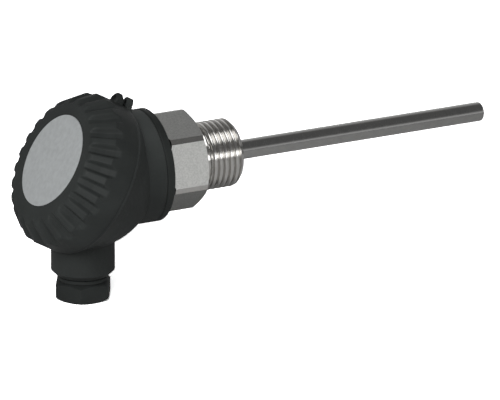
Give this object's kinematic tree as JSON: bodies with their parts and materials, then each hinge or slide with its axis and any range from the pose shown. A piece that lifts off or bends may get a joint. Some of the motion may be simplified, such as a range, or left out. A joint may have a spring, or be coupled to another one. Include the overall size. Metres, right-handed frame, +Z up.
{
  "type": "insertion temperature sensor with connection head",
  "caption": "Threaded insertion temperature probe: slim steel sheath on a hexagon nipple, with a tilted ribbed screw-cap connection head and a cable gland.",
  "frame": {"origin": "centre of the nipple's sealing shoulder, on the probe's axis, where the shoulder meets the process boss", "axes": "+X runs along the probe to its tip, +Z is up, and the cable gland hangs down along -Z"},
  "size_m": [0.156, 0.0486, 0.0629],
  "materials": {
    "head_plastic": "black glass-filled plastic, satin",
    "rubber": "black rubber",
    "label_foil": "matt silver foil",
    "stainless": "turned stainless steel",
    "ceramic": "off-white ceramic",
    "brass": "machined brass",
    "wire": "tinned copper wire",
    "resin": "dark potting resin"
  },
  "bodies": {
    "probe": {"housing": "head_plastic", "gland_grommet": "rubber", "neck_ring": "head_plastic", "hex_nipple": "stainless", "lock_nut": "stainless", "sheath_tube": "stainless", "sensor_element": "ceramic", "wire_insulator": "ceramic", "potting_plug": "resin", "lead_wire_1": "wire", "lead_wire_2": "wire", "terminal_base": "ceramic", "terminal_block_1": "brass", "terminal_block_2": "brass", "mounting_screw_1": "stainless", "mounting_screw_2": "stainless"},
    "cap_lifter": {"cap_gasket": "rubber"},
    "cap": {"cap": "head_plastic", "label": "label_foil"},
    "gland_follower": {"gland_washer": "stainless"},
    "gland_nut": {"gland_nut": "head_plastic"},
    "clamp_plate_1": {"clamp_plate_1": "stainless"},
    "clamp_screw_1": {"clamp_screw_1": "stainless"},
    "clamp_plate_2": {"clamp_plate_2": "stainless"},
    "clamp_screw_2": {"clamp_screw_2": "stainless"}
  },
  "joints": [
    {"name": "cap_lift", "type": "slide", "parent": "probe", "child": "cap_lifter", "axis": [-0.866, 0, 0.5], "range_m": [0, 0.009]},
    {"name": "cap_turn", "type": "hinge", "parent": "cap_lifter", "child": "cap", "pos_m": [-0.036, 0, 0], "axis": [-0.866, 0, 0.5], "range_deg": [0, 1080]},
    {"name": "gland_travel", "type": "slide", "parent": "probe", "child": "gland_follower", "axis": [0, 0, -1], "range_m": [0, 0.006]},
    {"name": "gland_turn", "type": "hinge", "parent": "gland_follower", "child": "gland_nut", "pos_m": [-0.036, 0, -0.03], "axis": [0, 0, -1], "range_deg": [0, 1440]},
    {"name": "clamp_travel_1", "type": "slide", "parent": "probe", "child": "clamp_plate_1", "axis": [0.866, 0, -0.5], "range_m": [0, 0.0012]},
    {"name": "clamp_turn_1", "type": "hinge", "parent": "clamp_plate_1", "child": "clamp_screw_1", "pos_m": [-0.04416, -0.0042, -0.00614], "axis": [0.866, 0, -0.5], "range_deg": [0, 864]},
    {"name": "clamp_travel_2", "type": "slide", "parent": "probe", "child": "clamp_plate_2", "axis": [0.866, 0, -0.5], "range_m": [0, 0.0012]},
    {"name": "clamp_turn_2", "type": "hinge", "parent": "clamp_plate_2", "child": "clamp_screw_2", "pos_m": [-0.04416, 0.0042, -0.00614], "axis": [0.866, 0, -0.5], "range_deg": [0, 864]}
  ],
  "couplings": [
    {"joint": "cap_lift", "follows": "cap_turn", "m_per_rad": 0.00047746},
    {"joint": "gland_travel", "follows": "gland_turn", "m_per_rad": 0.00023873},
    {"joint": "clamp_turn_1", "follows": "clamp_travel_1", "rad_per_m": 12566},
    {"joint": "clamp_turn_2", "follows": "clamp_travel_2", "rad_per_m": 12566}
  ]
}
